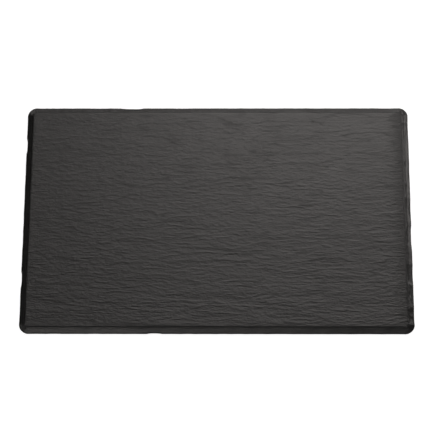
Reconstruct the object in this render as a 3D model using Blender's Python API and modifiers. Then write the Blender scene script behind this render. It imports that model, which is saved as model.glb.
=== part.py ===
"""Slate-effect melamine serving platter at its real size, in metres, +Z up.

One compression-moulded melamine shell with a hewn slate edge and a hollow
underside stands on push-in silicone feet. The origin is at the centre of the
footprint, on the surface that the platter stands on.
"""

import math
import random
from collections import namedtuple

import bmesh
import bpy
from mathutils import Vector

MM = 0.001
QUARTER = math.radians(90)

# Moulded shell
LENGTH = 530 * MM
WIDTH = 325 * MM
HEIGHT = 12 * MM
WALL = 4.5 * MM
CORNER_RADIUS = 12 * MM

# Hewn edge: runs go in from the outline, drops go down from the serving face
EDGE_RUN = 8.2 * MM
FLAKE_RUN = 2.8 * MM
FLAKE_DROP = 3.2 * MM
LEDGE_DROP = 2.2 * MM
NOSE_RUN = 1.2 * MM
NOSE_RISE = 2.8 * MM
UNDERCUT = 0.6 * MM

# Flake scars struck along the edge, as deep as they bite into the arris: finer on the long sides
SCAR_SHORTEST = 18 * MM
SCAR_LONGEST = 42 * MM
SCAR_SHALLOWEST = 0.15 * MM
SIDE_SCAR_DEEPEST = 0.5 * MM
END_SCAR_DEEPEST = 1.1 * MM
CORNER_SCAR = 0.8 * MM
SCAR_SEED = 7

# Share of a scar's depth by which it sets the nose back and hollows the ledge
NOSE_SHARE = 0.5
SINK_SHARE = 0.6

# Nicks broken out of the nose, by their place from the middle of the side
REAR_NICK_X = -119 * MM
REAR_NICK_LENGTH = 32 * MM
REAR_NICK_DEPTH = 1.1 * MM
FRONT_NICK_X = -83 * MM
FRONT_NICK_LENGTH = 20 * MM
FRONT_NICK_DEPTH = 0.8 * MM
LEFT_REAR_NICK_Y = 106 * MM
LEFT_FRONT_NICK_Y = -87 * MM
LEFT_NICK_LENGTH = 22 * MM
LEFT_NICK_DEPTH = 1 * MM
RIGHT_NICK_Y = -28 * MM
RIGHT_NICK_LENGTH = 36 * MM
RIGHT_NICK_DEPTH = 0.7 * MM

# Hollow underside
SKIRT_WALL = 4.5 * MM
COVE_RUN = 8 * MM
INNER_RADIUS = 4 * MM

# Push-in feet
FOOT_PROUD = 1 * MM
FOOT_INSET = 45 * MM
FLANGE_DIAMETER = 16 * MM
FLANGE_HEIGHT = 3 * MM
FLANGE_ROUND = 0.8 * MM
STEM_DIAMETER = 7 * MM
STEM_HEIGHT = 4 * MM
BEAD_RADIUS = 0.4 * MM
BEADS = 2
SEAT_GAP = 0.3 * MM

# Bosses that hold the feet
BOSS_WALL = 4 * MM
BOSS_ROOT = 1 * MM
BOSS_DRAFT = math.radians(3)

# Rows and columns of feet, as the side of the middle that each is on
FOOT_ROWS = {"front": -1, "rear": 1}
FOOT_COLUMNS = {"left": -1, "centre": 0, "right": 1}

# Facets
SCAR_STEPS = 5
CORNER_STEPS = 6
FLAKE_STEPS = 3
NOSE_STEPS = 3
HOLLOW_STEPS = 4
TURNED_STEPS = 24

# Heights above the table
SKIRT_HEIGHT = FOOT_PROUD
NOSE_HEIGHT = SKIRT_HEIGHT + NOSE_RISE
LEDGE_TOP = HEIGHT - FLAKE_DROP
LEDGE_END = LEDGE_TOP - LEDGE_DROP
CEILING = HEIGHT - WALL
BOSS_FACE = FLANGE_HEIGHT + SEAT_GAP
STEM_TOP = FLANGE_HEIGHT + STEM_HEIGHT
SOCKET_TOP = STEM_TOP + SEAT_GAP

# The socket clears the beads on the stem
SOCKET_RADIUS = STEM_DIAMETER / 2 + BEAD_RADIUS + SEAT_GAP

# Ways out over the four sides
FRONT = Vector((0, -1))
RIGHT = Vector((1, 0))
REAR = Vector((0, 1))
LEFT = Vector((-1, 0))

# The way out and the way along each side, anticlockwise from above
SIDES = ((FRONT, RIGHT), (RIGHT, REAR), (REAR, LEFT), (LEFT, FRONT))

# A nick: the way out of its side, its place along the side, its length and its depth
Nick = namedtuple("Nick", "out place length depth")

NICKS = (
    Nick(REAR, REAR_NICK_X, REAR_NICK_LENGTH, REAR_NICK_DEPTH),
    Nick(FRONT, FRONT_NICK_X, FRONT_NICK_LENGTH, FRONT_NICK_DEPTH),
    Nick(LEFT, LEFT_REAR_NICK_Y, LEFT_NICK_LENGTH, LEFT_NICK_DEPTH),
    Nick(LEFT, LEFT_FRONT_NICK_Y, LEFT_NICK_LENGTH, LEFT_NICK_DEPTH),
    Nick(RIGHT, RIGHT_NICK_Y, RIGHT_NICK_LENGTH, RIGHT_NICK_DEPTH),
)

# A stop on the way round the rim: its share of the half runs, the way out, the scar and the nick there
Station = namedtuple("Station", "spot out scar nick")

# A level of the rim: its inset from the outline, its height, its shares of a scar and of a nick
Section = namedtuple("Section", "inset height bite sink nick")


def clear_scene():
    for obj in list(bpy.data.objects):
        bpy.data.objects.remove(obj, do_unlink=True)


def new_collection(name):
    collection = bpy.data.collections.new(name)
    bpy.context.scene.collection.children.link(collection)
    return collection


def new_material(name, colour, roughness):
    made = bpy.data.materials.new(name)
    made.use_nodes = True
    made.diffuse_color = (*colour, 1)
    shader = made.node_tree.nodes["Principled BSDF"]
    shader.inputs["Base Color"].default_value = (*colour, 1)
    shader.inputs["Roughness"].default_value = roughness
    shader.inputs["Metallic"].default_value = 0
    return made


def new_object(bm, name, collection):
    """Turns a bmesh into a named object and frees it."""
    mesh = bpy.data.meshes.new(name)
    bm.to_mesh(mesh)
    bm.free()
    obj = bpy.data.objects.new(name, mesh)
    collection.objects.link(obj)
    return obj


def bowl(across):
    """Depth of a scar from 0 at its ends, at -1 and 1, to 1 in its middle."""
    return max(0, 1 - across**2)


def chip(across):
    """Depth of a nick from 0 at its ends, at -1 and 1, to a flat bottom of 1."""
    return max(0, 1 - across**4)


def scar_row(run, deepest, dice):
    """(length, depth) of the scars that fill a straight run, side by side."""
    lengths = []
    while sum(lengths) < run:
        lengths.append(dice.uniform(SCAR_SHORTEST, SCAR_LONGEST))
    fit = run / sum(lengths)
    return [(length * fit, dice.uniform(SCAR_SHALLOWEST, deepest)) for length in lengths]


def run_stops(run, deepest, dice):
    """(distance from the middle, scar) for each stop on a straight run but its last."""
    start = -run / 2
    for length, depth in scar_row(run, deepest, dice):
        for step in range(SCAR_STEPS):
            share = step / SCAR_STEPS
            yield start + length * share, depth * bowl(2 * share - 1)
        start += length


def nick_at(out, place):
    """Depth of the nicks of a side at a place along it."""
    return sum(
        nick.depth * chip((place - nick.place) / (nick.length / 2)) for nick in NICKS if nick.out == out
    )


def rim_stations():
    """The stops round the rim, anticlockwise from the left end of the front side."""
    dice = random.Random(SCAR_SEED)
    stations = []
    for out, along in SIDES:
        side, deepest = (LENGTH, SIDE_SCAR_DEEPEST) if along.x else (WIDTH, END_SCAR_DEEPEST)
        run = side - 2 * CORNER_RADIUS
        for place, scar in run_stops(run, deepest, dice):
            spot = out + along * place / (run / 2)
            stations.append(Station(spot, out, scar, nick_at(out, place * sum(along))))
        for step in range(CORNER_STEPS):
            turn = QUARTER * step / CORNER_STEPS
            facing = out * math.cos(turn) + along * math.sin(turn)
            stations.append(Station(out + along, facing, CORNER_SCAR * math.sin(2 * turn), 0))
    return stations


def rim_sections():
    """The levels of the rim: down the hewn edge, under the skirt and up into the hollow."""
    sections = []
    for step in range(FLAKE_STEPS + 1):
        share = step / FLAKE_STEPS
        inset = EDGE_RUN - FLAKE_RUN * (1 - math.cos(QUARTER * share))
        height = HEIGHT - FLAKE_DROP * math.sin(QUARTER * share)
        sections.append(Section(inset, height, 1, SINK_SHARE * share, 0))
    for step in range(NOSE_STEPS + 1):
        share = 1 - step / NOSE_STEPS
        inset = NOSE_RUN * (1 - math.cos(QUARTER * share))
        height = NOSE_HEIGHT + (LEDGE_END - NOSE_HEIGHT) * math.sin(QUARTER * share)
        sections.append(Section(inset, height, NOSE_SHARE, NOSE_SHARE * SINK_SHARE * share, 1))
    sections.append(Section(UNDERCUT, SKIRT_HEIGHT, NOSE_SHARE, 0, 1))
    for step in range(HOLLOW_STEPS + 1):
        share = step / HOLLOW_STEPS
        inset = SKIRT_WALL + COVE_RUN * (1 - math.cos(QUARTER * share))
        height = SKIRT_HEIGHT + (CEILING - SKIRT_HEIGHT) * math.sin(QUARTER * share)
        sections.append(Section(inset, height, 0, 0, 0))
    return sections


def rim_ring(bm, stations, section):
    """One closed ring of the loft: the rounded outline, set in and bitten by the scars and nicks."""
    radius = max(CORNER_RADIUS - section.inset, INNER_RADIUS)
    reach_x = LENGTH / 2 - section.inset - radius
    reach_y = WIDTH / 2 - section.inset - radius
    ring = []
    for stop in stations:
        push = stop.out * (radius - section.bite * stop.scar - section.nick * stop.nick)
        x = stop.spot.x * reach_x + push.x
        y = stop.spot.y * reach_y + push.y
        ring.append(bm.verts.new((x, y, section.height - section.sink * stop.scar)))
    return ring


def shell(collection):
    """The moulding without its bosses, lofted from the serving face round to the ceiling."""
    bm = bmesh.new()
    stations = rim_stations()
    rings = [rim_ring(bm, stations, section) for section in rim_sections()]
    for upper, lower in zip(rings, rings[1:]):
        for here in range(len(stations)):
            bm.faces.new((upper[here - 1], lower[here - 1], lower[here], upper[here]))
    bm.faces.new(rings[0])
    bm.faces.new(reversed(rings[-1]))
    return new_object(bm, "platter_shell", collection)


def foot_places():
    """(name, x, y) of each foot, set in from the outline."""
    for row, side_y in FOOT_ROWS.items():
        for column, side_x in FOOT_COLUMNS.items():
            x = side_x * (LENGTH / 2 - FOOT_INSET)
            y = side_y * (WIDTH / 2 - FOOT_INSET)
            yield f"{row}_{column}", x, y


def post(name, collection, place, low, high, low_radius, high_radius):
    """An upright round helper for a Boolean, from one height to another."""
    bm = bmesh.new()
    bmesh.ops.create_cone(
        bm,
        cap_ends=True,
        segments=TURNED_STEPS,
        radius1=low_radius,
        radius2=high_radius,
        depth=high - low,
    )
    made = new_object(bm, name, collection)
    made.location = (*place, (low + high) / 2)
    made.hide_render = True
    made.display_type = "WIRE"


def add_boolean(obj, operation, operands):
    modifier = obj.modifiers.new(operands.name, "BOOLEAN")
    modifier.operation = operation
    modifier.operand_type = "COLLECTION"
    modifier.collection = operands
    modifier.solver = "EXACT"


def add_foot_sockets(body):
    """Joins a drafted boss to the ceiling above each foot and sinks a blind socket in it."""
    bosses = new_collection("bosses")
    sockets = new_collection("sockets")
    root = CEILING + BOSS_ROOT
    mouth = BOSS_FACE - BOSS_ROOT
    tip_radius = SOCKET_RADIUS + BOSS_WALL
    root_radius = tip_radius + (root - BOSS_FACE) * math.tan(BOSS_DRAFT)
    for name, x, y in foot_places():
        post(f"boss_{name}", bosses, (x, y), BOSS_FACE, root, tip_radius, root_radius)
        post(f"socket_{name}", sockets, (x, y), mouth, SOCKET_TOP, SOCKET_RADIUS, SOCKET_RADIUS)
    add_boolean(body, "UNION", bosses)
    add_boolean(body, "DIFFERENCE", sockets)


def foot_profile():
    """(radius, height) down the outside of a foot, from the top of its stem to its sole."""
    stem = STEM_DIAMETER / 2
    flange = FLANGE_DIAMETER / 2
    profile = [(0, STEM_TOP), (stem - BEAD_RADIUS, STEM_TOP), (stem, STEM_TOP - BEAD_RADIUS)]
    for bead in range(1, BEADS + 1):
        middle = STEM_TOP - STEM_HEIGHT * bead / (BEADS + 1)
        profile.append((stem, middle + BEAD_RADIUS))
        profile.append((stem + BEAD_RADIUS, middle))
        profile.append((stem, middle - BEAD_RADIUS))
    profile.append((stem, FLANGE_HEIGHT))
    for level, angles in ((FLANGE_HEIGHT - FLANGE_ROUND, (90, 45, 0)), (FLANGE_ROUND, (0, -45, -90))):
        for angle in map(math.radians, angles):
            radius = flange - FLANGE_ROUND * (1 - math.cos(angle))
            profile.append((radius, level + FLANGE_ROUND * math.sin(angle)))
    profile.append((0, 0))
    return profile


def foot(name, place, collection):
    """A turned silicone foot: a flange to stand on and a beaded stem."""
    bm = bmesh.new()
    points = [bm.verts.new((radius, 0, height)) for radius, height in foot_profile()]
    for upper, lower in zip(points, points[1:]):
        bm.edges.new((upper, lower))
    made = new_object(bm, name, collection)
    made.location = (*place, 0)
    turn = made.modifiers.new("turn", "SCREW")
    turn.axis = "Z"
    turn.steps = TURNED_STEPS
    turn.render_steps = TURNED_STEPS
    turn.use_merge_vertices = True
    turn.merge_threshold = 0.01 * MM
    return made


def main():
    clear_scene()
    parts = new_collection("melamine_platter")
    melamine = new_material("slate_black_melamine", (0.03, 0.03, 0.029), 0.45)
    silicone = new_material("black_silicone", (0.018, 0.018, 0.018), 0.6)
    body = shell(parts)
    add_foot_sockets(body)
    body.data.materials.append(melamine)
    for name, x, y in foot_places():
        foot(f"foot_{name}", (x, y), parts).data.materials.append(silicone)


main()
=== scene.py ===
"""Looks of the slate-effect melamine platter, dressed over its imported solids, in metres."""

import math
import random
from collections import namedtuple

import bmesh
import bpy
import numpy as np
from mathutils import Matrix, Vector

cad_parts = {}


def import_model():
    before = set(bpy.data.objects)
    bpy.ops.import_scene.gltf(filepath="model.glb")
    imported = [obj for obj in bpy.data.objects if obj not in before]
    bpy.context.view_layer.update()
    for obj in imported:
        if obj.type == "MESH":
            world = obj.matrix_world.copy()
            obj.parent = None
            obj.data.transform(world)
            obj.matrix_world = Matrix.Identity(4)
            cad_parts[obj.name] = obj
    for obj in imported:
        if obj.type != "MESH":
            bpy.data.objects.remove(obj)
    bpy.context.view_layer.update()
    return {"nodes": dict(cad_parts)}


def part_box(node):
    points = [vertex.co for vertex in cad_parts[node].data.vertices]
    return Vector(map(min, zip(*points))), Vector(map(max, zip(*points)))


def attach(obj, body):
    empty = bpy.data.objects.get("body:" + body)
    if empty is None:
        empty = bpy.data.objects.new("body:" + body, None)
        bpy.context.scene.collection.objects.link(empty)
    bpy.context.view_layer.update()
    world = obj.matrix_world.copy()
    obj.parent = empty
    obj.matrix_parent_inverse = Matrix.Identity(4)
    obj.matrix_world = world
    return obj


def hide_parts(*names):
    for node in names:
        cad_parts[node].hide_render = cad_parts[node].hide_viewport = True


MM = 0.001
QUARTER = math.radians(90)

# Camera that sees the platter as the photograph does
FRAME_PIXELS = 440
FOCAL_PIXELS = 1665
SENSOR_WIDTH = 36
CAMERA_ELEVATION = math.radians(71.51)
CAMERA_AZIMUTH = math.radians(2.02)
CAMERA_ROLL = math.radians(-1.90)
CAMERA_DISTANCE = 2.275
CAMERA_TARGET = Vector((0.0040, -0.0018, 0.0038))
CAMERA_SIGHT = 50

# Hewn edge, as on the solid: runs go in from the outline, drops go down from the serving face
WALL = 4.5 * MM
CORNER_RADIUS = 12 * MM
EDGE_RUN = 8.2 * MM
FLAKE_RUN = 2.8 * MM
FLAKE_DROP = 3.2 * MM
LEDGE_DROP = 2.2 * MM
NOSE_RUN = 1.2 * MM
NOSE_RISE = 2.8 * MM
UNDERCUT = 0.6 * MM
SKIRT_WALL = 4.5 * MM
INNER_RADIUS = 4 * MM

# Flake scars struck along the edge, as on the solid
SCAR_SHORTEST = 18 * MM
SCAR_LONGEST = 42 * MM
SCAR_SHALLOWEST = 0.15 * MM
SIDE_SCAR_DEEPEST = 0.5 * MM
END_SCAR_DEEPEST = 1.1 * MM
CORNER_SCAR = 0.8 * MM
SCAR_SEED = 7
NOSE_SHARE = 0.5
SINK_SHARE = 0.6

# Ways out over the four sides, and the way along each, anticlockwise from above
FRONT = Vector((0, -1))
RIGHT = Vector((1, 0))
REAR = Vector((0, 1))
LEFT = Vector((-1, 0))
SIDES = ((FRONT, RIGHT), (RIGHT, REAR), (REAR, LEFT), (LEFT, FRONT))

# Nicks broken out of the nose, as on the solid
Nick = namedtuple("Nick", "out place length depth")
NICKS = (
    Nick(REAR, -119 * MM, 32 * MM, 1.1 * MM),
    Nick(FRONT, -83 * MM, 20 * MM, 0.8 * MM),
    Nick(LEFT, 106 * MM, 22 * MM, 1.0 * MM),
    Nick(LEFT, -87 * MM, 22 * MM, 1.0 * MM),
    Nick(RIGHT, -28 * MM, 36 * MM, 0.7 * MM),
)

# Push-in feet, as on the solids
FLANGE_HEIGHT = 3 * MM
FLANGE_ROUND = 0.8 * MM
STEM_DIAMETER = 7 * MM
BEAD_RADIUS = 0.4 * MM
BEADS = 2
FOOT_TURNS = 64
ROUND_STEPS = 8
BEAD_STEPS = 10

# Decimals of a metre to which feet in one row or column agree
PLACE_DIGITS = 4

# Softened border of the serving face, which rolls off further at the right
BORDER = 0.7 * MM
ROLL_RUN = 3 * MM
ROLL_DROP = 0.45 * MM
RIGHT_ROLL_RUN = 22 * MM
RIGHT_ROLL_DROP = 2.5 * MM

# Share of the grain's depth that is lost where the border lies lowest
BORDER_CALM = 0.85

# Fineness of the visible surface, and how many rim stops go to one grid stop on the long sides
SIDE_STEPS = 140
END_STEPS = 400
SIDE_SPLIT = 4
CORNER_STEPS = 12
FLAKE_STEPS = 5
LEDGE_STEPS = 4
NOSE_STEPS = 4
COLUMNS = SIDE_STEPS + CORNER_STEPS
ROWS = END_STEPS + CORNER_STEPS

# Shares of a chip that are cut at the arris and at the widest line of the nose
ARRIS_CUT = 0.5
NOSE_CUT = 0.4

# Shares of the hewn finish at the arris and at the foot of the skirt
ARRIS_HEWN = 0.5
SKIRT_HEWN = 0.3

# Distance within which loose points are one, and slack when the solid's underside is picked out
WELD = 0.002 * MM
SLACK = 0.05 * MM

# Longest stretch of the hollow's rim that the foot of the skirt spans in one
FOOT_STEP = 4 * MM

# Edges sharper than this stay crisp
CRISP_ANGLE = math.radians(35)

# Flat faces of the underside look this far down, and stay flat beside the rounded cove
FACING_DOWN = -0.999

# Riven grain and chips: lengths run with the grain, spacings across it, reaches push it aside
GRAIN_SIZES = {
    "Slant": 0.04,
    "Bend length": 90 * MM,
    "Bend spacing": 40 * MM,
    "Bend reach": 3 * MM,
    "Quiver length": 24 * MM,
    "Quiver spacing": 8 * MM,
    "Quiver reach": 1 * MM,
    "Cleft length": 100 * MM,
    "Cleft spacing": 12 * MM,
    "Cleft levels": 6,
    "Cleft tread": 0.7,
    "Cleft depth": 0.3 * MM,
    "Sway length": 45 * MM,
    "Sway spacing": 14 * MM,
    "Sway reach": 0.7 * MM,
    "Ripple length": 18 * MM,
    "Ripple spacing": 5 * MM,
    "Ripple lean": 0.9,
    "Ripple levels": 3,
    "Ripple tread": 0.45,
    "Ripple depth": 0.41 * MM,
    "Ripple sink": 0.8,
    "Patch length": 40 * MM,
    "Patch spacing": 14 * MM,
    "Quiet strength": 0.2,
    "Bold strength": 1.8,
    "Chip size": 6 * MM,
    "Chip height": 3 * MM,
    "Flaw size": 2.6 * MM,
    "Flaw height": 1.2 * MM,
    "Flaw share": 0.3,
    "Chip depth": 0.5 * MM,
    "Seed": 4,
}

# Layers of noise that each part of the grain is cut from, above the seed
SWAY_LAYER = 1.9
QUIVER_LAYER = 3.3
RIPPLE_LAYER = 5.1
CLEFT_LAYER = 7.7
PATCH_LAYER = 9.2

# Noise of the grain and the finish: finer layers in it, and the strength that each keeps
CLEFT_NOISE = {"detail": 2, "roughness": 0.45}
RIPPLE_NOISE = {"detail": 1, "roughness": 0.9}
CLOUD_NOISE = {"detail": 4, "roughness": 0.6}
STREAK_NOISE = {"detail": 3, "roughness": 0.6}
FINE_NOISE = {"detail": 3, "roughness": 0.5}
BROAD_NOISE = {"detail": 1, "roughness": 0.5}
PLAIN_NOISE = {"detail": 0, "roughness": 0.5}

# Noise below and above which a patch of the grain is quiet and bold
PATCH_RISE = (0.2, 0.8)

# Strength of the grain at the middle of the face, and its growth with each metre towards the front
BOLDNESS = 1.5
BOLDER_FORWARD = 6

# Growth of the clefts' depth with each metre from the middle of the face to the front
CLEFT_SWELL = 16

# Patterns in the melamine's finish
CLOUD_LENGTH = 110 * MM
CLOUD_WIDTH = 60 * MM
CLOUD_LAYER = 0.5
STREAK_LENGTH = 6.5 * MM
STREAK_WIDTH = 2.5 * MM
LEAF_LENGTH = 40 * MM
LEAF_THICKNESS = 0.9 * MM
GRIT_SIZE = 0.9 * MM

# Relief of the finish, and what streaks, leaves of slate and grit add to it
FINISH_RELIEF = 0.3 * MM
STREAK_RELIEF = 0.55
LEAF_RELIEF = 1.6
HEWN_GRIT = 0.4
FACE_GRIT = 0.1

# Tints of the melamine, from its darkest, which is also painted shade in the hollows and on the
# cleft steps of its grain, to its worn edges
SLATE_DARK = (0.0035, 0.0035, 0.0034, 1)
SLATE_LIGHT = (0.0105, 0.0102, 0.0098, 1)
SLATE_WORN = (0.022, 0.0215, 0.021, 1)

# Shares of the patterns in the tint, random clouds and streaks with painted shade from ripple
# hollows and cleft steps, and the sum at which it is darkest and lightest
CLOUD_TINT = 0.25
# Painted shade: the tint darkens in the hollows of the ripples
RIPPLE_HOLLOW_SHADE = 0.35
STREAK_TINT = 0.4
# Painted shade: the tint darkens on the faces of the cleft steps
PAINTED_STEP_SHADE = 0.12
TINT_RISE = (0.2, 0.7)

# Strongest wear, and the sum of grit and clouds at which it starts and is full
WEAR_SHARE = 0.35
WEAR_RISE = (0.6, 1.1)

# Satin of the melamine: its roughness, what dulls and polishes it, and its refractive index
SATIN = 0.36
STREAK_DULLING = 0.10
CLOUD_DULLING = 0.06
STEP_DULLING = 0.10
HEWN_POLISH = 0.12
MELAMINE_INDEX = 1.7

# Silicone of the feet
SILICONE_DARK = (0.010, 0.010, 0.010, 1)
SILICONE_BLOOM = (0.024, 0.024, 0.024, 1)
BLOOM_SIZE = 8 * MM
PORE_SIZE = 1.1 * MM
PORE_RELIEF = 0.02 * MM
SILICONE_ROUGHNESS = 0.5
PORE_DULLING = 0.2

# Soft boxes that look at the platter: place, size and radiance
SoftBox = namedtuple("SoftBox", "place size radiance")
SOFT_BOXES = {
    "key": SoftBox(Vector((0.25, 1.04, 1.6)), (0.9, 1.3), 3.25),
    "side": SoftBox(Vector((0.72, 0.28, 0.24)), (0.4, 0.25), 2.25),
    "front": SoftBox(Vector((-0.45, -1.5, 1.9)), (1.4, 0.7), 1.65),
    "rear": SoftBox(Vector((0.42, 2, 0.6)), (1.95, 0.6), 1.4),
}
FILL = SoftBox(Vector((0, 0, 3)), (4, 4), 0.4)

# Low soft boxes that sheen the platter in other views: turn of each from the right, and height
LOW_BOXES = {
    "front_left": (math.radians(-135), 0.7),
    "front_right": (math.radians(-45), 0.7),
    "left": (math.radians(-168), 0.3),
    "rear_left": (math.radians(125), 0.8),
}
LOW_BOX_REACH = 1.9
LOW_BOX_SIZE = (0.7, 0.45)
LOW_BOX_RADIANCE = 2

# Colours of the studio, and the finish and reach of its floor
WARM_WHITE = (1, 0.955, 0.93)
WHITE = (1, 1, 1, 1)
FLOOR_GREY = (0.4, 0.4, 0.4, 1)
FLOOR_ROUGHNESS = 0.9
FLOOR_SHEEN = 0
FLOOR_GLOW = 0.9
FLOOR_REACH = 6
DARK_SURROUND = (0.02, 0.02, 0.02, 1)
LIT_SURROUND = (0.4, 0.4, 0.4, 1)
BACKDROP = (0.86, 0.86, 0.86, 1)

# Lit band of the surround, as rises and falls of a direction's height and of its way to the rear
BAND_FOOT = (0, 0.1)
BAND_HEAD = (0.15, 0.42)
BAND_REAR = (-0.35, 0.05)

# Stops on the rim: share of the plan's half size, way out, and the depths of scar and nick there
Station = namedtuple("Station", "spot out scar nick")

# A level of the edge, and its shares of scars inwards and down, nicks, the face's dips and chips
Section = namedtuple("Section", "inset height bite sink nick slump cut")


class Wire:
    """A node's output that takes part in sums: each operator adds a Math node."""

    def __init__(self, graph, socket):
        self.graph = graph
        self.socket = socket

    def math(self, operation, *values):
        return self.graph.add("ShaderNodeMath", {"operation": operation}, dict(enumerate(values)))

    def __add__(self, other):
        return self.math("ADD", self, other)

    def __radd__(self, other):
        return self.math("ADD", other, self)

    def __sub__(self, other):
        return self.math("SUBTRACT", self, other)

    def __rsub__(self, other):
        return self.math("SUBTRACT", other, self)

    def __mul__(self, other):
        return self.math("MULTIPLY", self, other)

    def __rmul__(self, other):
        return self.math("MULTIPLY", other, self)

    def __truediv__(self, other):
        return self.math("DIVIDE", self, other)

    def __rtruediv__(self, other):
        return self.math("DIVIDE", other, self)

    def floor(self):
        return self.math("FLOOR", self)

    def at_least(self, least):
        return self.math("MAXIMUM", self, least)

    def rise(self, low, high):
        """0 below low, 1 above high and a smooth rise between them."""
        settings = {"interpolation_type": "SMOOTHSTEP"}
        inputs = {"Value": self, "From Min": low, "From Max": high}
        return self.graph.add("ShaderNodeMapRange", settings, inputs)

    def ridge(self):
        """1 where the wire is a half, down to 0 where it is 0 or 1."""
        return self * (1 - self) * 4


class Graph:
    """A node tree that nodes are added to by type, settings and inputs."""

    def __init__(self, tree):
        self.tree = tree

    def add(self, kind, settings=None, inputs=None, output=0):
        node = self.tree.nodes.new(kind)
        for name, value in (settings or {}).items():
            setattr(node, name, value)
        for key, value in (inputs or {}).items():
            self.join(value, node.inputs[key])
        return Wire(self, node.outputs[output]) if node.outputs else None

    def join(self, value, socket):
        """Links a wire to a socket, or sets the socket's own value."""
        if isinstance(value, Wire):
            self.tree.links.new(value.socket, socket)
        else:
            socket.default_value = value

    def axes(self, vector):
        """The x, y and z wires of a vector."""
        parts = self.add("ShaderNodeSeparateXYZ", None, {"Vector": vector})
        return [Wire(self, socket) for socket in parts.socket.node.outputs]

    def vector(self, x, y, z):
        return self.add("ShaderNodeCombineXYZ", None, {"X": x, "Y": y, "Z": z})

    def noise(self, x, y, z, detail=2, roughness=0.5):
        """Soft noise from 0 to 1 about 0.5, at a place counted in lengths of the pattern."""
        place = self.vector(x, y, z)
        inputs = {"Vector": place, "Scale": 1, "Detail": detail, "Roughness": roughness}
        return self.add("ShaderNodeTexNoise", None, inputs)

    def cells(self, x, y, z):
        """Distance to the nearest of scattered points, at a place counted in widths of a cell."""
        return self.add("ShaderNodeTexVoronoi", None, {"Vector": self.vector(x, y, z), "Scale": 1})

    def mix_colour(self, share, first, second):
        """A blend of two colours, which the node takes at 6 and 7 and hands on at 2."""
        inputs = {0: share, 6: first, 7: second}
        return self.add("ShaderNodeMix", {"data_type": "RGBA"}, inputs, output=2)

    def bump(self, relief, height):
        inputs = {"Strength": 1, "Distance": relief, "Height": height}
        return self.add("ShaderNodeBump", None, inputs)


def across_grain(x, y, sizes):
    """Place across the grain, which runs a little askew of the long sides."""
    return y + x * sizes["Slant"]


def cleft_steps(graph, x, y, sizes):
    """Stepped clefts of riven slate: (height from 0 to 1, mask of the step faces)."""
    seed = sizes["Seed"]
    bend = graph.noise(x / sizes["Bend length"], y / sizes["Bend spacing"], seed, **BROAD_NOISE)
    layer = seed + QUIVER_LAYER
    quiver = graph.noise(x / sizes["Quiver length"], y / sizes["Quiver spacing"], layer)
    across = y + sizes["Bend reach"] * bend + sizes["Quiver reach"] * quiver
    along = x / sizes["Cleft length"]
    across = across / sizes["Cleft spacing"]
    layer = seed + CLEFT_LAYER
    level = graph.noise(along, across, layer, **CLEFT_NOISE) * sizes["Cleft levels"]
    tread = level.floor()
    step = (level - tread).rise(sizes["Cleft tread"], 1)
    return (tread + step) / sizes["Cleft levels"], step.ridge()


def ripples(graph, x, y, sizes):
    """Height of the fine ripples between the clefts, from 0 to 1."""
    seed = sizes["Seed"]
    layer = seed + SWAY_LAYER
    sway = graph.noise(x / sizes["Sway length"], y / sizes["Sway spacing"], layer, **BROAD_NOISE)
    along = x / sizes["Ripple length"]
    across = (y + sizes["Sway reach"] * sway) / sizes["Ripple spacing"]
    layer = seed + RIPPLE_LAYER
    across = across + sizes["Ripple lean"] * graph.noise(along, across, layer, **PLAIN_NOISE)
    level = graph.noise(along, across, layer, **RIPPLE_NOISE) * sizes["Ripple levels"]
    tread = level.floor()
    return (tread + (level - tread).rise(sizes["Ripple tread"], 1)) / sizes["Ripple levels"]


def boldness(y):
    """Strength of the grain, which grows towards the front edge."""
    return BOLDNESS - y * BOLDER_FORWARD


def bowl(across):
    """Depth of a scar from 0 at its ends, at -1 and 1, to 1 in its middle."""
    return max(0, 1 - across**2)


def chip(across):
    """Depth of a nick from 0 at its ends, at -1 and 1, to a flat bottom of 1."""
    return max(0, 1 - across**4)


def scar_row(run, deepest, dice):
    """(length, depth) of the scars that fill a straight run, side by side."""
    lengths = []
    while sum(lengths) < run:
        lengths.append(dice.uniform(SCAR_SHORTEST, SCAR_LONGEST))
    fit = run / sum(lengths)
    return [(length * fit, dice.uniform(SCAR_SHALLOWEST, deepest)) for length in lengths]


def scar_at(place, run, row):
    """Depth of a row of scars at a distance from the middle of its run."""
    start = -run / 2
    for length, depth in row:
        if place <= start + length:
            return depth * bowl(2 * (place - start) / length - 1)
        start += length
    return 0


def nick_at(out, place):
    """Depth of the nicks of a side at a place along it."""
    depth = 0
    for nick in NICKS:
        if nick.out == out:
            depth += nick.depth * chip((place - nick.place) / (nick.length / 2))
    return depth


def rim_stations(size, side_steps):
    """The stops round the rim, from the middle of the front left corner, as arrays."""
    dice = random.Random(SCAR_SEED)
    stops = []
    for out, along in SIDES:
        if along.x:
            side, deepest, steps = size.x, SIDE_SCAR_DEEPEST, side_steps
        else:
            side, deepest, steps = size.y, END_SCAR_DEEPEST, END_STEPS
        run = side - 2 * CORNER_RADIUS
        row = scar_row(run, deepest, dice)
        for step in range(steps):
            place = run * (step / steps - 0.5)
            spot = out + along * place / (run / 2)
            nick = nick_at(out, place * (along.x + along.y))
            stops.append(Station(spot, out, scar_at(place, run, row), nick))
        for step in range(CORNER_STEPS):
            turn = QUARTER * step / CORNER_STEPS
            facing = out * math.cos(turn) + along * math.sin(turn)
            stops.append(Station(out + along, facing, CORNER_SCAR * math.sin(2 * turn), 0))
    columns = [np.array(column) for column in zip(*stops)]
    return Station(*(np.roll(column, CORNER_STEPS // 2, axis=0) for column in columns))


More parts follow.
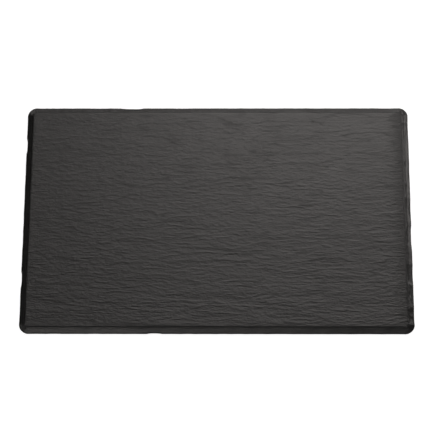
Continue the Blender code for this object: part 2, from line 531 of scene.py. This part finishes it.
def flake_sections(top):
    """Levels of the hollow flake, from the arris down to the ledge."""
    sections = []
    for step in range(FLAKE_STEPS + 1):
        share = step / FLAKE_STEPS
        fall = math.sin(QUARTER * share)
        level = Section(
            inset=EDGE_RUN - FLAKE_RUN * (1 - math.cos(QUARTER * share)),
            height=top - FLAKE_DROP * fall,
            bite=1,
            sink=SINK_SHARE * share,
            nick=0,
            slump=1 - fall,
            cut=ARRIS_CUT + (1 - ARRIS_CUT) * share,
        )
        sections.append(level)
    return sections


def ledge_sections(top):
    """Levels of the sloping ledge between the flake and the nose."""
    sections = []
    for step in range(1, LEDGE_STEPS):
        share = step / LEDGE_STEPS
        bite = 1 + (NOSE_SHARE - 1) * share
        level = Section(
            inset=(EDGE_RUN - FLAKE_RUN) * (1 - share) + NOSE_RUN * share,
            height=top - LEDGE_DROP * share,
            bite=bite,
            sink=SINK_SHARE * bite,
            nick=share,
            slump=0,
            cut=1,
        )
        sections.append(level)
    return sections


def nose_sections(top, skirt):
    """Levels of the rounded nose, down to its widest line, and of the foot of the skirt."""
    widest = skirt + NOSE_RISE
    sections = []
    for step in range(NOSE_STEPS + 1):
        share = 1 - step / NOSE_STEPS
        level = Section(
            inset=NOSE_RUN * (1 - math.cos(QUARTER * share)),
            height=widest + (top - widest) * math.sin(QUARTER * share),
            bite=NOSE_SHARE,
            sink=NOSE_SHARE * SINK_SHARE * share,
            nick=1,
            slump=0,
            cut=NOSE_CUT * (1 + share),
        )
        sections.append(level)
    foot = Section(inset=UNDERCUT, height=skirt, bite=NOSE_SHARE, sink=0, nick=1, slump=0, cut=0)
    return sections + [foot]


def rim_sections(top, skirt):
    """The levels of the hewn edge, from the arris down to the skirt."""
    ledge = top - FLAKE_DROP
    return flake_sections(top) + ledge_sections(ledge) + nose_sections(ledge - LEDGE_DROP, skirt)


def rim_ring(stations, half, section):
    """Points of one ring of the edge."""
    radius = max(CORNER_RADIUS - section.inset, INNER_RADIUS)
    push = radius - section.bite * stations.scar - section.nick * stations.nick
    plan = stations.spot * (half - section.inset - radius) + stations.out * push[:, None]
    height = section.height - section.sink * stations.scar - section.slump * roll_drop(plan, half)
    return np.column_stack([plan, height])


def inset_of(plan, half):
    """How far points lie inside the rounded outline."""
    past = np.abs(plan) - (half - CORNER_RADIUS)
    round_part = np.hypot(*np.maximum(past, 0).T)
    return CORNER_RADIUS - round_part - np.minimum(past.max(axis=1), 0)


def roll_drop(plan, half):
    """How far the border of the serving face lies below its middle."""
    near_edge = np.clip(1 - (inset_of(plan, half) - EDGE_RUN) / ROLL_RUN, 0, 1)
    near_right = np.clip(1 - (half[0] - EDGE_RUN - plan[:, 0]) / RIGHT_ROLL_RUN, 0, 1)
    return ROLL_DROP * near_edge**2 + RIGHT_ROLL_DROP * near_right**2


def grid_in(ring):
    """Points of the grid that fills a closed ring, which starts at the grid's first corner."""
    ring = np.vstack([ring, ring[:1]])
    front = ring[: COLUMNS + 1]
    right = ring[COLUMNS : COLUMNS + ROWS + 1]
    rear = ring[COLUMNS + ROWS : 2 * COLUMNS + ROWS + 1][::-1]
    left = ring[2 * COLUMNS + ROWS :][::-1]
    u = ((front[:, 0] - front[0, 0]) / np.ptp(front[:, 0]))[None, :, None]
    v = ((left[:, 1] - left[0, 1]) / np.ptp(left[:, 1]))[:, None, None]
    across = (1 - u) * left[:, None] + u * right[:, None]
    along = (1 - v) * front[None] + v * rear[None]
    front_ends = (1 - u) * front[0] + u * front[-1]
    rear_ends = (1 - u) * rear[0] + u * rear[-1]
    return (across + along - (1 - v) * front_ends - v * rear_ends).reshape(-1, 3)


def face_grid(size, half, top):
    """Points of the serving face, with its border rolled off."""
    section = Section(inset=EDGE_RUN + BORDER, height=top, bite=1, sink=0, nick=0, slump=1, cut=0)
    grid = grid_in(rim_ring(rim_stations(size, SIDE_STEPS), half, section))
    grid[:, 2] = top - roll_drop(grid[:, :2], half)
    return grid


def grid_indices():
    """Indices of the grid's points, row by row."""
    return np.arange((COLUMNS + 1) * (ROWS + 1)).reshape(ROWS + 1, COLUMNS + 1)


def grid_faces():
    """Faces between the points of the grid."""
    index = grid_indices()
    around = [index[:-1, :-1], index[:-1, 1:], index[1:, 1:], index[1:, :-1]]
    return np.stack(around, axis=-1).reshape(-1, 4).tolist()


def grid_border():
    """Indices of the grid's border, in the order of the ring that it fills."""
    index = grid_indices()
    sides = [index[0, :-1], index[:-1, -1], index[-1, :0:-1], index[:0:-1, 0]]
    return np.concatenate(sides).tolist()


def ring_faces(upper, lower):
    """Faces between two rings of as many points."""
    faces = []
    for here in range(len(upper)):
        faces.append((upper[here - 1], lower[here - 1], lower[here], upper[here]))
    return faces


def border_faces(border, arris):
    """Faces between the border of the grid and the arris, whose long sides have more stops."""
    half_corner = CORNER_STEPS // 2
    side = [1] * half_corner + [SIDE_SPLIT] * SIDE_STEPS + [1] * half_corner
    end = [1] * ROWS
    faces = []
    start = 0
    for here, split in enumerate(side + end + side + end):
        outer = [arris[(start + step) % len(arris)] for step in range(split + 1)]
        first, last = border[here], border[(here + 1) % len(border)]
        # No face has all its corners on the arris, where it could cut across a chip
        left, right = split // 2, (split + 1) // 2
        faces += [(first, outer[step], outer[step + 1]) for step in range(left)]
        faces.append((first, *outer[left : right + 1], last))
        faces += [(last, outer[step], outer[step + 1]) for step in range(right, split)]
        start += split
    return faces


def cut_directions(rings, sections):
    """Way into the material at each ring's points, as long as the share of a chip cut there."""
    ways = []
    for level, section in enumerate(sections):
        upper = rings[max(level - 1, 0)]
        lower = rings[min(level + 1, len(rings) - 1)]
        around = np.roll(rings[level], -1, axis=0) - np.roll(rings[level], 1, axis=0)
        way = np.cross(around, lower - upper)
        ways.append(section.cut * way / np.linalg.norm(way, axis=1)[:, None])
    return np.vstack(ways)


def mark_surface(mesh, points, half, levels, sections, inward):
    """Writes on each point its shares of face, grain and hewn edge, and its way inwards."""
    serving = np.zeros(len(inward))
    serving[: levels[0][0]] = 1
    grained = serving.copy()
    for level, section in zip(levels, sections):
        grained[level] = section.slump
    grained *= 1 - BORDER_CALM * roll_drop(points[:, :2], half) / (ROLL_DROP + RIGHT_ROLL_DROP)
    hewn = 1 - serving
    hewn[levels[0]] = ARRIS_HEWN
    hewn[levels[-1]] = SKIRT_HEWN
    for name, shares in {"serving": serving, "grained": grained, "hewn": hewn}.items():
        mesh.attributes.new(name, "FLOAT", "POINT").data.foreach_set("value", shares)
    ways = mesh.attributes.new("inward", "FLOAT_VECTOR", "POINT")
    ways.data.foreach_set("vector", inward.ravel())


def platter_blank(node):
    """The platter before its grain: a fine face and edge, closed by the solid's own underside."""
    low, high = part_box("platter_shell")
    half = np.array((high - low).xy) / 2
    grid = face_grid(high - low, half, high.z)
    stations = rim_stations(high - low, SIDE_STEPS * SIDE_SPLIT)
    sections = rim_sections(high.z, low.z)
    rings = [rim_ring(stations, half, section) for section in sections]
    levels = (len(grid) + np.arange(len(rings) * len(rings[0])).reshape(len(rings), -1)).tolist()
    faces = grid_faces() + border_faces(grid_border(), levels[0])
    for upper, lower in zip(levels, levels[1:]):
        faces += ring_faces(upper, lower)
    mesh = bpy.data.meshes.new("platter")
    points = np.vstack([grid, *rings])
    mesh.from_pydata(points.tolist(), [], faces)
    inward = np.vstack([np.zeros_like(grid), cut_directions(rings, sections)])
    mark_surface(mesh, points, half, levels, sections, inward)
    close_below(mesh, node.data, half, high.z - WALL)
    return mesh


def underside(solid, half, ceiling):
    """The solid's hollow underside up to its ceiling, with its rim split into short stretches."""
    hollow = bmesh.new()
    hollow.from_mesh(solid)
    bmesh.ops.remove_doubles(hollow, verts=hollow.verts, dist=WELD)
    insets = inset_of(np.array([vert.co.xy for vert in hollow.verts]), half)
    outer = []
    for vert, inset in zip(hollow.verts, insets):
        if vert.co.z > ceiling + SLACK or inset < SKIRT_WALL - SLACK:
            outer.append(vert)
    bmesh.ops.delete(hollow, geom=outer, context="VERTS")
    for edge in [edge for edge in hollow.edges if edge.is_boundary]:
        cuts = int(edge.calc_length() / FOOT_STEP)
        if cuts:
            bmesh.ops.subdivide_edges(hollow, edges=[edge], cuts=cuts)
    mesh = bpy.data.meshes.new("underside")
    hollow.to_mesh(mesh)
    hollow.free()
    return mesh


def bearing(vert):
    """The angle at which a point lies from the middle of the platter."""
    return math.atan2(vert.co.y, vert.co.x)


def skirt_foot(whole, half):
    """Adds the flat foot of the skirt, between the open rims of the edge and the hollow."""
    rims = sorted((vert for vert in whole.verts if vert.is_boundary), key=bearing)
    insets = inset_of(np.array([vert.co.xy for vert in rims]), half)
    sides = ["edge" if inset < SKIRT_WALL / 2 else "hollow" for inset in insets]
    # Each point in turn closes a face with the last points of both rims
    last = dict(zip(sides, rims))
    for side, vert in zip(sides, rims):
        whole.faces.new((last["edge"], last["hollow"], vert))
        last[side] = vert


def close_below(mesh, solid, half, ceiling):
    """Adds the solid's hollow underside and the flat foot of the skirt."""
    under = underside(solid, half, ceiling)
    whole = bmesh.new()
    whole.from_mesh(mesh)
    whole.from_mesh(under)
    bpy.data.meshes.remove(under)
    skirt_foot(whole, half)
    bmesh.ops.recalc_face_normals(whole, faces=whole.faces)
    whole.to_mesh(mesh)
    whole.free()


def new_tree(name, sizes):
    """A geometry tree with an input for each size: (graph, incoming shape, wires of the sizes)."""
    tree = bpy.data.node_groups.new(name, "GeometryNodeTree")
    tree.interface.new_socket("Shape", in_out="INPUT", socket_type="NodeSocketGeometry")
    for size in sizes:
        tree.interface.new_socket(size, in_out="INPUT", socket_type="NodeSocketFloat")
    tree.interface.new_socket("Shape", in_out="OUTPUT", socket_type="NodeSocketGeometry")
    graph = Graph(tree)
    outputs = graph.add("NodeGroupInput").socket.node.outputs
    wires = {size: Wire(graph, outputs[size]) for size in sizes}
    return graph, Wire(graph, outputs["Shape"]), wires


def end_tree(graph, shape, material):
    """Realises what the tree made, gives it its material and hands it on."""
    whole = graph.add("GeometryNodeRealizeInstances", None, {"Geometry": shape})
    finished = graph.add("GeometryNodeSetMaterial", None, {"Geometry": whole, "Material": material})
    graph.add("NodeGroupOutput", None, {"Shape": finished})
    return graph.tree


def attribute(graph, name, kind="FLOAT"):
    """A wire of what is written on the mesh's points under a name."""
    return graph.add("GeometryNodeInputNamedAttribute", {"data_type": kind}, {"Name": name})


def grain_depth(graph, x, y, sizes):
    """How deep the riven grain lies below the top of the serving face."""
    across = across_grain(x, y, sizes)
    height, _ = cleft_steps(graph, x, across, sizes)
    along = x / sizes["Patch length"]
    layer = sizes["Seed"] + PATCH_LAYER
    noise = graph.noise(along, across / sizes["Patch spacing"], layer, **BROAD_NOISE)
    patches = noise.rise(*PATCH_RISE)
    quiet = sizes["Quiet strength"]
    strength = boldness(y) * (quiet + (sizes["Bold strength"] - quiet) * patches)
    dip = sizes["Ripple sink"] + strength * (0.5 - ripples(graph, x, across, sizes))
    swell = 1 + CLEFT_SWELL * (0 - y).at_least(0)
    return swell * (1 - height) * sizes["Cleft depth"] + dip * sizes["Ripple depth"]


def chip_depth(graph, x, y, z, sizes):
    """How deep the hewn edge is chipped, by broad chips with small flaws in them."""
    broad = graph.cells(x / sizes["Chip size"], y / sizes["Chip size"], z / sizes["Chip height"])
    small = graph.cells(x / sizes["Flaw size"], y / sizes["Flaw size"], z / sizes["Flaw height"])
    share = sizes["Flaw share"]
    depth = (1 - broad * broad).at_least(0) * (1 - share) + (1 - small) * share
    return depth * sizes["Chip depth"]


def riven_tree(material):
    """Geometry nodes that sink the riven grain into the serving face and chip the hewn edge."""
    graph, blank, sizes = new_tree("riven_slate", GRAIN_SIZES)
    x, y, z = graph.axes(graph.add("GeometryNodeInputPosition"))
    grain = attribute(graph, "grained") * grain_depth(graph, x, y, sizes)
    chips = chip_depth(graph, x, y, z, sizes)
    inward = attribute(graph, "inward", "FLOAT_VECTOR")
    chipped = graph.add("ShaderNodeVectorMath", {"operation": "SCALE"}, {0: inward, "Scale": chips})
    sunk = graph.vector(0, 0, 0 - grain)
    offset = graph.add("ShaderNodeVectorMath", {"operation": "ADD"}, {0: chipped, 1: sunk})
    moved = graph.add("GeometryNodeSetPosition", None, {"Geometry": blank, "Offset": offset})
    return end_tree(graph, moved, material)


def grow(obj, tree, sizes):
    """Runs a geometry tree on an object and keeps the result as its plain mesh."""
    modifier = obj.modifiers.new(tree.name, "NODES")
    modifier.node_group = tree
    for item in tree.interface.items_tree:
        if item.in_out == "INPUT" and item.name in sizes:
            modifier[item.identifier] = float(sizes[item.name])
    shaped = obj.evaluated_get(bpy.context.evaluated_depsgraph_get())
    made = bpy.data.meshes.new_from_object(shaped)
    obj.modifiers.clear()
    obj.data = made


def new_object(name, data):
    obj = bpy.data.objects.new(name, data)
    bpy.context.scene.collection.objects.link(obj)
    return obj


def slate_platter(node, material):
    """The moulded platter, in place of its solid."""
    piece = new_object("slate_platter", platter_blank(node))
    grow(piece, riven_tree(material), GRAIN_SIZES)
    piece.data.set_sharp_from_angle(angle=CRISP_ANGLE)
    for face in piece.data.polygons:
        face.use_smooth = face.normal.z > FACING_DOWN
    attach(piece, "root")
    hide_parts("platter_shell")


def arc(centre, radius, start, end, steps):
    """Points of a round stretch of a turned profile, as (reach, height), between two angles."""
    points = []
    for step in range(steps + 1):
        turn = start + (end - start) * step / steps
        points.append((centre[0] + radius * math.cos(turn), centre[1] + radius * math.sin(turn)))
    return points


def foot_profile(reach, height):
    """Half section of a foot from the middle of its sole to the tip of its beaded stem."""
    stem = STEM_DIAMETER / 2
    inner = reach - FLANGE_ROUND
    points = [(0, 0)]
    points += arc((inner, FLANGE_ROUND), FLANGE_ROUND, -QUARTER, 0, ROUND_STEPS)
    points += arc((inner, FLANGE_HEIGHT - FLANGE_ROUND), FLANGE_ROUND, 0, QUARTER, ROUND_STEPS)
    points.append((stem, FLANGE_HEIGHT))
    pitch = (height - FLANGE_HEIGHT) / (BEADS + 1)
    for bead in range(BEADS):
        middle = (stem, FLANGE_HEIGHT + pitch * (bead + 1))
        points += arc(middle, BEAD_RADIUS, -QUARTER, QUARTER, BEAD_STEPS)
    return points + [(stem, height), (0, height)]


def turned_foot(low, high):
    """One foot, standing on the origin."""
    bm = bmesh.new()
    points = foot_profile((high.x - low.x) / 2, high.z - low.z)
    line = [bm.verts.new((reach, 0, up)) for reach, up in points]
    edges = [bm.edges.new(pair) for pair in zip(line, line[1:])]
    turn = {"axis": (0, 0, 1), "cent": (0, 0, 0), "angle": 4 * QUARTER, "steps": FOOT_TURNS}
    bmesh.ops.spin(bm, geom=line + edges, use_merge=True, **turn)
    bmesh.ops.remove_doubles(bm, verts=bm.verts, dist=WELD)
    bmesh.ops.recalc_face_normals(bm, faces=bm.faces)
    mesh = bpy.data.meshes.new("foot")
    bm.to_mesh(mesh)
    bm.free()
    return mesh


def foot_tree(sizes, material):
    """Geometry nodes that set one foot at every crossing of a grid."""
    graph, foot, wires = new_tree("foot_rows", sizes)
    inputs = {
        "Size X": wires["Row length"],
        "Size Y": wires["Row spacing"],
        "Vertices X": wires["Feet in a row"],
        "Vertices Y": wires["Rows"],
    }
    spots = graph.add("GeometryNodeMeshGrid", None, inputs)
    feet = graph.add("GeometryNodeInstanceOnPoints", None, {"Points": spots, "Instance": foot})
    return end_tree(graph, feet, material)


def silicone_feet(names, material):
    """All the feet as one piece, in place of their solids."""
    boxes = [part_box(name) for name in names]
    places = np.array([(low + high) / 2 for low, high in boxes])
    sizes = {
        "Row length": np.ptp(places[:, 0]),
        "Row spacing": np.ptp(places[:, 1]),
        "Feet in a row": len(set(np.round(places[:, 0], PLACE_DIGITS))),
        "Rows": len(set(np.round(places[:, 1], PLACE_DIGITS))),
    }
    piece = new_object("silicone_feet", turned_foot(*boxes[0]))
    grow(piece, foot_tree(sizes, material), sizes)
    piece.data.shade_smooth()
    piece.data.set_sharp_from_angle(angle=CRISP_ANGLE)
    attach(piece, "root")
    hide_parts(*names)


def new_material(name):
    """A plain material to build on: (material, graph of its nodes, inputs of its shader)."""
    made = bpy.data.materials.new(name)
    made.use_nodes = True
    return made, Graph(made.node_tree), made.node_tree.nodes["Principled BSDF"].inputs


def slate_melamine():
    """Satin black melamine moulded and tinted to look like riven slate."""
    made, graph, shader = new_material("slate_melamine")
    x, y, z = graph.axes(graph.add("ShaderNodeTexCoord", output="Object"))
    serving = graph.add("ShaderNodeAttribute", {"attribute_name": "serving"}, output="Fac")
    hewn = graph.add("ShaderNodeAttribute", {"attribute_name": "hewn"}, output="Fac")
    across = across_grain(x, y, GRAIN_SIZES)
    _, risers = cleft_steps(graph, x, across, GRAIN_SIZES)
    # Faces of the cleft steps, darkened in the tint as painted shade and dulled in roughness
    steps = risers * serving
    ripple = ripples(graph, x, across, GRAIN_SIZES)
    clouds = graph.noise(x / CLOUD_LENGTH, y / CLOUD_WIDTH, CLOUD_LAYER, **CLOUD_NOISE)
    along = x / STREAK_LENGTH
    streaks = graph.noise(along, across / STREAK_WIDTH, z / STREAK_WIDTH, **STREAK_NOISE)
    leaves = graph.noise(x / LEAF_LENGTH, y / LEAF_LENGTH, z / LEAF_THICKNESS, **FINE_NOISE)
    grit = graph.noise(x / GRIT_SIZE, y / GRIT_SIZE, z / GRIT_SIZE)
    # Random tone from clouds and streaks, with painted shade in the ripples' hollows and on the
    # cleft steps
    tone_and_shade = CLOUD_TINT * clouds + RIPPLE_HOLLOW_SHADE * ripple + STREAK_TINT * streaks - PAINTED_STEP_SHADE * steps
    wear = WEAR_SHARE * hewn.ridge() * (grit + clouds).rise(*WEAR_RISE)
    colour = graph.mix_colour(tone_and_shade.rise(*TINT_RISE), SLATE_DARK, SLATE_LIGHT)
    dulling = STREAK_DULLING * streaks + CLOUD_DULLING * clouds + STEP_DULLING * steps
    relief = hewn * (LEAF_RELIEF * leaves + HEWN_GRIT * grit) + FACE_GRIT * grit
    relief = relief + serving * streaks * (STREAK_RELIEF + boldness(y))
    graph.join(graph.mix_colour(wear, colour, SLATE_WORN), shader["Base Color"])
    graph.join(SATIN + dulling - HEWN_POLISH * hewn, shader["Roughness"])
    graph.join(graph.bump(FINISH_RELIEF, relief), shader["Normal"])
    graph.join(MELAMINE_INDEX, shader["IOR"])
    return made


def silicone():
    """Soft black silicone with a dusty bloom."""
    made, graph, shader = new_material("black_silicone")
    x, y, z = graph.axes(graph.add("ShaderNodeTexCoord", output="Object"))
    pores = graph.noise(x / PORE_SIZE, y / PORE_SIZE, z / PORE_SIZE, **FINE_NOISE)
    bloom = graph.noise(x / BLOOM_SIZE, y / BLOOM_SIZE, z / BLOOM_SIZE)
    graph.join(graph.mix_colour(bloom, SILICONE_DARK, SILICONE_BLOOM), shader["Base Color"])
    graph.join(SILICONE_ROUGHNESS + PORE_DULLING * pores, shader["Roughness"])
    graph.join(graph.bump(PORE_RELIEF, pores), shader["Normal"])
    return made


def camera():
    """The camera, where the photograph was taken from."""
    data = bpy.data.cameras.new("camera")
    data.sensor_width = SENSOR_WIDTH
    data.lens = FOCAL_PIXELS / FRAME_PIXELS * SENSOR_WIDTH
    data.clip_end = CAMERA_SIGHT
    obj = new_object("camera", data)
    swing = Matrix.Rotation(CAMERA_AZIMUTH, 3, "Z") @ Matrix.Rotation(-CAMERA_ELEVATION, 3, "X")
    back = swing @ Vector((0, -1, 0))
    turn = back.to_track_quat("Z", "Y").to_matrix() @ Matrix.Rotation(CAMERA_ROLL, 3, "Z")
    obj.matrix_world = Matrix.Translation(CAMERA_TARGET + back * CAMERA_DISTANCE) @ turn.to_4x4()
    bpy.context.scene.camera = obj


def soft_light(name, box, colour=WARM_WHITE, in_gloss=True):
    """A soft box that looks at the platter. One out of gloss lights it without a reflection."""
    data = bpy.data.lights.new(name, "AREA")
    data.shape = "RECTANGLE"
    data.size, data.size_y = box.size
    data.energy = box.radiance * math.pi * data.size * data.size_y
    data.color = colour
    obj = new_object(name, data)
    obj.location = box.place
    obj.rotation_euler = (-box.place).to_track_quat("-Z", "Y").to_euler()
    obj.visible_glossy = in_gloss
    obj.visible_camera = False


def lights():
    """Soft light from the rear right, with low sheens for the other sides."""
    for name, box in SOFT_BOXES.items():
        soft_light(name, box)
    for name, (turn, height) in LOW_BOXES.items():
        place = Matrix.Rotation(turn, 3, "Z") @ Vector((LOW_BOX_REACH, 0, height))
        soft_light(name, SoftBox(place, LOW_BOX_SIZE, LOW_BOX_RADIANCE))
    soft_light("fill", FILL, colour=WHITE[:3], in_gloss=False)


def pale_floor():
    """Pale floor that stays out of the platter's reflections."""
    bm = bmesh.new()
    bmesh.ops.create_grid(bm, x_segments=1, y_segments=1, size=FLOOR_REACH)
    mesh = bpy.data.meshes.new("floor")
    bm.to_mesh(mesh)
    bm.free()
    floor = new_object("floor", mesh)
    made, graph, shader = new_material("pale_floor")
    graph.join(FLOOR_GREY, shader["Base Color"])
    graph.join(FLOOR_ROUGHNESS, shader["Roughness"])
    graph.join(FLOOR_SHEEN, shader["Specular IOR Level"])
    graph.join(WHITE, shader["Emission Color"])
    graph.join(FLOOR_GLOW, shader["Emission Strength"])
    mesh.materials.append(made)
    floor.visible_glossy = False
    floor.visible_diffuse = False


def surround():
    """Pale backdrop for the camera, dark for reflections but for a low band at the front."""
    world = bpy.data.worlds.new("surround")
    bpy.context.scene.world = world
    world.use_nodes = True
    graph = Graph(world.node_tree)
    _, back, up = graph.axes(graph.add("ShaderNodeTexCoord", output="Generated"))
    band = up.rise(*BAND_FOOT) * (1 - up.rise(*BAND_HEAD)) * (1 - back.rise(*BAND_REAR))
    walls = graph.mix_colour(band, DARK_SURROUND, LIT_SURROUND)
    seen = graph.add("ShaderNodeLightPath", output="Is Camera Ray")
    colour = graph.mix_colour(seen, walls, BACKDROP)
    graph.join(colour, world.node_tree.nodes["Background"].inputs["Color"])
    bpy.context.scene.view_settings.view_transform = "Standard"


def main():
    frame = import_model()
    slate_platter(frame["nodes"]["platter_shell"], slate_melamine())
    silicone_feet([name for name in frame["nodes"] if name.startswith("foot_")], silicone())
    camera()
    lights()
    pale_floor()
    surround()


main()
